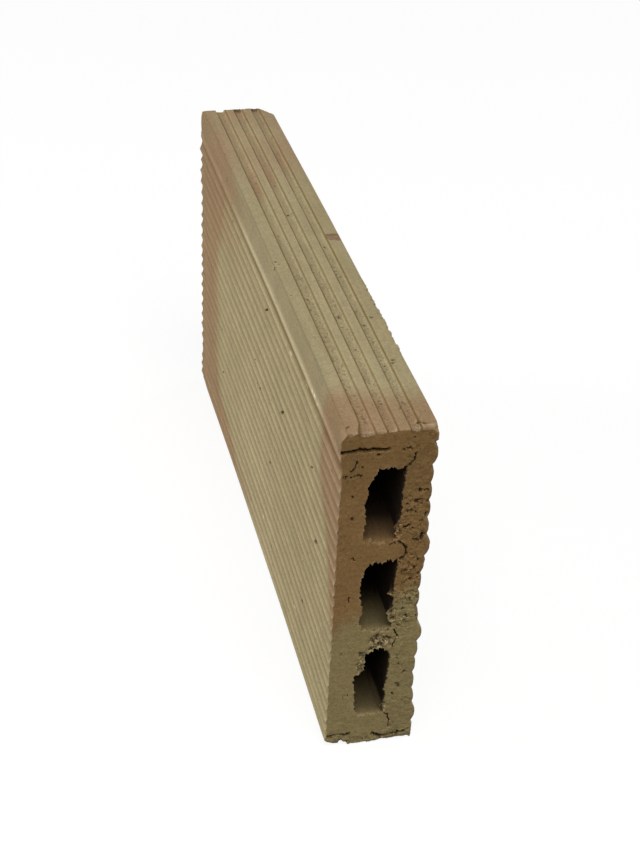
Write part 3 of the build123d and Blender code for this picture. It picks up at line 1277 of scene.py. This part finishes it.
def press_spots(mesh):
    """Divides the skin finely round each spot, presses it in and marks it"""
    work = bmesh.new()
    work.from_mesh(mesh)
    draw_burr(work)
    places = np.empty((0, 3))
    for centre, radius, depth, direction, axis, stretch, mark, strength in surface_spots():
        inward, axis = np.array(direction, float), np.array(axis, float)
        half = radius * (1 + stretch * abs(axis))
        places = all_places(work, places)
        flat, away = across_face(places, centre, inward, axis, stretch)
        strip = (abs(flat[:, 0]) < half[0] + spot_reach) & (away < radius + 2 * spot_reach)
        strip &= np.all(abs(flat[:, 1:]) < half[1:] + spot_margin, axis=1)
        divide(work, strip, longest_edge, strip_cuts)
        places = all_places(work, places)
        _, away = across_face(places, centre, inward, axis, stretch)
        divide(work, away < radius + spot_margin, longest_spot_edge, spot_cuts)
        places = all_places(work, places)
        _, away = across_face(places, centre, inward, axis, stretch)
        near = np.flatnonzero(away < 2 * radius)
        ragged = spot_rim_play * fractal(places[near], 0.7, 121, 2)
        shares = 1 - smooth(away[near] / radius + ragged, *spot_rim_shares)
        places[near] += shares[:, None] * depth * inward
        layer = work.verts.layers.float[mark]
        for n, share in zip(near, shares):
            vert = work.verts[n]
            vert.co = places[n] * MM
            vert[layer] = max(vert[layer], strength * share)
    many_sided = [f for f in work.faces if len(f.verts) > 4]
    bmesh.ops.triangulate(work, faces=many_sided, ngon_method="BEAUTY")
    work.to_mesh(mesh)
    work.free()
    mesh.shade_smooth()
    mesh.set_sharp_from_angle(angle=math.radians(sharp_angle))


# Material of the fired clay
buff_colour = (0.345, 0.283, 0.153, 1)
brown_colour = (0.287, 0.190, 0.102, 1)
grey_colour = (0.285, 0.245, 0.15, 1)
# Tints of the cut ends and cells, plain and in the brown zone: the cut clay's own warmer colour and painted
# warm shade
cut_tint = (1.03, 0.97, 0.80, 1)
brown_cut_tint = (1.04, 0.915, 0.64, 1)
# Tint of rubbed ridges with painted highlight, and of dirt with painted shade
rub_and_highlight_tint = (1.5, 1.54, 1.7, 1)
dirt_and_shade_tint = (0.4, 0.32, 0.14, 1)
# Pale chips and crumbs, and the near black of painted shade and of dark stains
pale_colour = (0.58, 0.46, 0.30, 1)
crumb_colour = (0.66, 0.515, 0.29, 1)
shade_and_stain_colour = (0.015, 0.008, 0.004, 1)
white = (1, 1, 1, 1)
clay_roughness = 0.92
clay_specular = 0.2
bump_strength = 0.6
bump_depth = 0.3

# Noise in the clay: scale, detail and stretch along each axis
clay_noises = {
    "blotch": (70, 4, (1, 1, 1)),
    "grain": (1300, 4, (1, 1, 1)),
    "fine_grain": (2000, 3, (1, 1, 1)),
    "drag": (700, 2, (0.03, 1, 1)),
    "wire_drag": (1100, 2, (1, 0.15, 1)),
    "pores": (1700, 3, (1, 1, 1)),
    "flecks": (900, 6, (1, 1, 1)),
    "grit": (800, 3, (0.3, 1, 1)),
    "lumps": (2200, 4, (1, 1, 1)),
}
granule_scale = 1050
granule_stretch = (1, 1.25, 0.8)

# Range that most of a noise lies in
noise_span = (0.3, 0.7)


class Nodes:
    """Short calls for making a node tree"""

    def __init__(self, tree):
        self.tree = tree

    def make(self, kind, **values):
        node = self.tree.nodes.new(kind)
        for name, value in values.items():
            setattr(node, name, value)
        return node

    def join(self, start, end):
        self.tree.links.new(start, end)

    def attribute(self, name):
        return self.make("ShaderNodeAttribute", attribute_name=name).outputs["Fac"]

    def stretched(self, scale):
        """Object coordinates, scaled along each axis"""
        place = self.make("ShaderNodeTexCoord")
        mapping = self.make("ShaderNodeMapping")
        mapping.inputs["Scale"].default_value = scale
        self.join(place.outputs["Object"], mapping.inputs["Vector"])
        return mapping.outputs["Vector"]

    def noise(self, scale, detail, stretch):
        node = self.make("ShaderNodeTexNoise")
        node.inputs["Scale"].default_value = scale
        node.inputs["Detail"].default_value = detail
        self.join(self.stretched(stretch), node.inputs["Vector"])
        return node.outputs["Fac"]

    def granules(self, scale, stretch):
        """Random shade of each granule, and the distance from the gaps between them"""
        shades = self.make("ShaderNodeTexVoronoi")
        gaps = self.make("ShaderNodeTexVoronoi", feature="DISTANCE_TO_EDGE")
        for node in (shades, gaps):
            node.inputs["Scale"].default_value = scale
            self.join(self.stretched(stretch), node.inputs["Vector"])
        return shades.outputs["Color"], gaps.outputs["Distance"]

    def range(self, value, low, high, to_low=0.0, to_high=1.0):
        node = self.make("ShaderNodeMapRange")
        self.join(value, node.inputs["Value"])
        for name, number in zip(("From Min", "From Max", "To Min", "To Max"), (low, high, to_low, to_high)):
            node.inputs[name].default_value = number
        return node.outputs["Result"]

    def feed(self, socket, value):
        """Sets a socket to a number or a colour, or joins another socket to it"""
        if isinstance(value, (int, float, tuple)):
            socket.default_value = value
        else:
            self.join(value, socket)

    def math(self, operation, first, second):
        node = self.make("ShaderNodeMath", operation=operation)
        self.feed(node.inputs[0], first)
        self.feed(node.inputs[1], second)
        return node.outputs["Value"]

    def times(self, first, second):
        return self.math("MULTIPLY", first, second)

    def mix(self, factor, first, second, blend="MIX"):
        node = self.make("ShaderNodeMix", data_type="RGBA", blend_type=blend)
        for number, value in ((0, factor), (6, first), (7, second)):
            self.feed(node.inputs[number], value)
        return node.outputs[2]

    def grey(self, value):
        """A plain shade from a number"""
        node = self.make("ShaderNodeCombineColor")
        for socket in node.inputs:
            self.join(value, socket)
        return node.outputs["Color"]


def matte_material(name, roughness, specular):
    """A new material, short calls for its nodes, and its shader"""
    material = bpy.data.materials.new(name)
    material.use_nodes = True
    shader = material.node_tree.nodes["Principled BSDF"]
    shader.inputs["Roughness"].default_value = roughness
    shader.inputs["Specular IOR Level"].default_value = specular
    return material, Nodes(material.node_tree), shader


def clay_material():
    """Fired clay: buff and brown zones, mottling, drag lines, grain, crumbs, stains, painted highlights on
    ridges and painted shade in grooves, cracks, pits and cells
    """
    material, nodes, shader = matte_material("fired_clay_surface", clay_roughness, clay_specular)
    marks = {name: nodes.attribute(name) for name in (*mark_names, "brown")}
    noises = {name: nodes.noise(*values) for name, values in clay_noises.items()}
    cut, groove, crumb, torn_share = (marks[name] for name in ("cut", "groove", "crumb", "torn"))

    porous = nodes.math("ADD", nodes.times(cut, 0.5), nodes.math("ADD", groove, torn_share))
    specks = nodes.times(nodes.range(noises["pores"], 0.6, 0.7), porous)
    flecks = nodes.times(nodes.range(noises["flecks"], 0.6, 0.65), nodes.range(torn_share, 0.2, 0.6))
    grit = nodes.times(nodes.range(noises["grit"], 0.66, 0.74), nodes.range(cut, 0, 0.5, 1, 0))
    granule_shade, granule_gap = nodes.granules(granule_scale, granule_stretch)
    granule = nodes.times(crumb, nodes.range(granule_shade, 0.25, 0.7, 0, 0.8))
    # Painted shade in the gaps between granules and where granules are lost
    gaps = nodes.range(granule_gap, 0.02, 0.1, 0.8, 0)
    lost = nodes.range(granule_shade, 0.12, 0.25, 1, 0)
    broken = nodes.times(nodes.math("MAXIMUM", gaps, lost), crumb)

    spread = nodes.math("ADD", marks["brown"], nodes.range(noises["blotch"], *noise_span, -0.18, 0.18))
    spread = nodes.range(spread, 0.1, 0.9)
    colour = nodes.mix(marks["grey"], buff_colour, grey_colour)
    colour = nodes.mix(spread, colour, brown_colour)
    tint = nodes.mix(spread, cut_tint, brown_cut_tint)
    colour = nodes.mix(cut, colour, nodes.mix(1.0, colour, tint, "MULTIPLY"))
    colour = nodes.mix(nodes.times(marks["pale"], 0.7), colour, pale_colour)
    colour = nodes.mix(granule, colour, crumb_colour)
    torn_grain = nodes.range(noises["fine_grain"], *noise_span, -0.3, 0.3)
    shades = (
        nodes.range(noises["blotch"], *noise_span, 0.93, 1.07),
        nodes.range(noises["grain"], *noise_span, 0.86, 1.14),
        nodes.range(noises["drag"], *noise_span, 0.95, 1.05),
        nodes.range(nodes.times(noises["wire_drag"], cut), *noise_span, 1.01, 0.98),
        nodes.range(specks, 0, 1, 1, 0.68),
        nodes.range(grit, 0, 1, 1, 0.72),
        # Groove floors lighter: painted light against the shadow of their walls
        nodes.range(groove, 0, 1, 1, 1.1),
        nodes.math("ADD", 1, nodes.times(torn_share, torn_grain)),
    )
    # Painted highlight on rubbed ridges, and painted shade with dirt in hollows and grooves
    tints = (
        nodes.mix(nodes.range(marks["crest"], 0, 3), white, rub_and_highlight_tint),
        nodes.mix(nodes.range(marks["dirt"], 0, 2), white, dirt_and_shade_tint),
        *(nodes.grey(shade) for shade in shades),
    )
    for tint in tints:
        colour = nodes.mix(1.0, colour, tint, "MULTIPLY")
    # Painted shade in the cells, the cracks and pits and between granules; flecks are dark specks in the clay
    for dark, strength in ((marks["gloom"], 0.99), (marks["cavity"], 0.96), (flecks, 0.6), (broken, 0.6)):
        colour = nodes.mix(nodes.times(dark, strength), colour, shade_and_stain_colour)
    nodes.join(colour, shader.inputs["Base Color"])

    lumps = nodes.times(noises["lumps"], nodes.times(torn_share, 2.2))
    relief = nodes.math("ADD", nodes.times(noises["grain"], 0.6), nodes.times(noises["drag"], 0.5))
    relief = nodes.math("ADD", relief, lumps)
    for hollow, strength in ((specks, 0.5), (grit, 0.5), (flecks, 1.2), (broken, 2.0)):
        relief = nodes.math("SUBTRACT", relief, nodes.times(hollow, strength))
    bump = nodes.make("ShaderNodeBump")
    bump.inputs["Strength"].default_value = bump_strength
    bump.inputs["Distance"].default_value = bump_depth * MM
    nodes.join(relief, bump.inputs["Height"])
    nodes.join(bump.outputs["Normal"], shader.inputs["Normal"])
    return material


def new_object(name, data):
    """A new object of this mesh, camera or lamp in the scene"""
    made = bpy.data.objects.new(name, data)
    bpy.context.scene.collection.objects.link(made)
    return made


def make_brick():
    """The brick, in place of its plain solid"""
    mesh = brick_mesh()
    press_spots(mesh)
    mesh.materials.append(clay_material())
    brick = new_object("hollow_brick_skin", mesh)
    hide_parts("hollow_brick")
    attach(brick, "root")


# Camera, placed by the brick's corners in an image of 640 by 853
image_height_pixels = 853
focal_pixels = 1829.0
sensor_width = 36
nearest_clip = 0.01
camera_place = (532.2, -121.7, 376.2)
camera_azimuth = 76.22
camera_elevation = 31.27
camera_roll = 2.37


def make_camera():
    """Camera at the photograph's place"""
    data = bpy.data.cameras.new("camera")
    data.sensor_width = sensor_width
    data.lens = sensor_width * focal_pixels / image_height_pixels
    data.clip_start = nearest_clip
    camera = new_object("camera", data)
    azimuth, elevation = math.radians(camera_azimuth), math.radians(camera_elevation)
    flat = math.cos(elevation)
    back = Vector((math.sin(azimuth) * flat, -math.cos(azimuth) * flat, math.sin(elevation)))
    camera.rotation_mode = "QUATERNION"
    roll = Quaternion((0, 0, 1), math.radians(camera_roll))
    camera.rotation_quaternion = (-back).to_track_quat("-Z", "Y") @ roll
    camera.location = Vector(camera_place) * MM
    bpy.context.scene.camera = camera


# Lamps before the fluted face, over the near end and low behind: place and size in metres, and power
lamps = (
    ("key_lamp", (-0.45, -1.6, 0.42), 0.7, 22.0),
    ("fill_lamp", (0.8, -0.05, 1.42), 1.2, 24.8),
    ("back_lamp", (-0.9, 1.5, 0.32), 0.5, 12.0),
)
sky_strength = 0.04
floor_colour = (0.15, 0.148, 0.145, 1)
floor_lift = 0.87
floor_size = 6.0


def make_lights():
    """Lamps that face the brick, and a sky that shows white to the camera"""
    for name, place, size, power in lamps:
        data = bpy.data.lights.new(name, "AREA")
        data.size = size
        data.energy = power
        lamp = new_object(name, data)
        lamp.location = place
        lamp.rotation_mode = "QUATERNION"
        lamp.rotation_quaternion = (-Vector(place)).to_track_quat("-Z", "Y")

    world = bpy.data.worlds.new("sky")
    bpy.context.scene.world = world
    world.use_nodes = True
    nodes = Nodes(world.node_tree)
    sky = world.node_tree.nodes["Background"]
    rays = nodes.make("ShaderNodeLightPath").outputs
    seen = nodes.math("MAXIMUM", rays["Is Camera Ray"], rays["Is Glossy Ray"])
    seen = nodes.math("MAXIMUM", seen, rays["Is Transmission Ray"])
    nodes.join(nodes.range(seen, 0, 1, sky_strength, 1), sky.inputs["Strength"])
    sky.inputs["Color"].default_value = white


def floor_material():
    """Pale floor that keeps the shadow and is lifted to white for the camera"""
    material, nodes, shader = matte_material("pale_floor", 1.0, 0.0)
    shader.inputs["Base Color"].default_value = floor_colour
    shader.inputs["Emission Color"].default_value = white
    rays = nodes.make("ShaderNodeLightPath").outputs
    nodes.join(nodes.times(rays["Is Camera Ray"], floor_lift), shader.inputs["Emission Strength"])
    return material


def make_floor():
    """Plain pale floor under the brick"""
    half = floor_size / 2
    mesh = bpy.data.meshes.new("floor")
    corners = [(-half, -half, 0), (half, -half, 0), (half, half, 0), (-half, half, 0)]
    mesh.from_pydata(corners, [], [(0, 1, 2, 3)])
    mesh.materials.append(floor_material())
    floor = new_object("floor", mesh)


make_brick()
make_camera()
make_lights()
make_floor()
bpy.context.scene.view_settings.view_transform = "Standard"
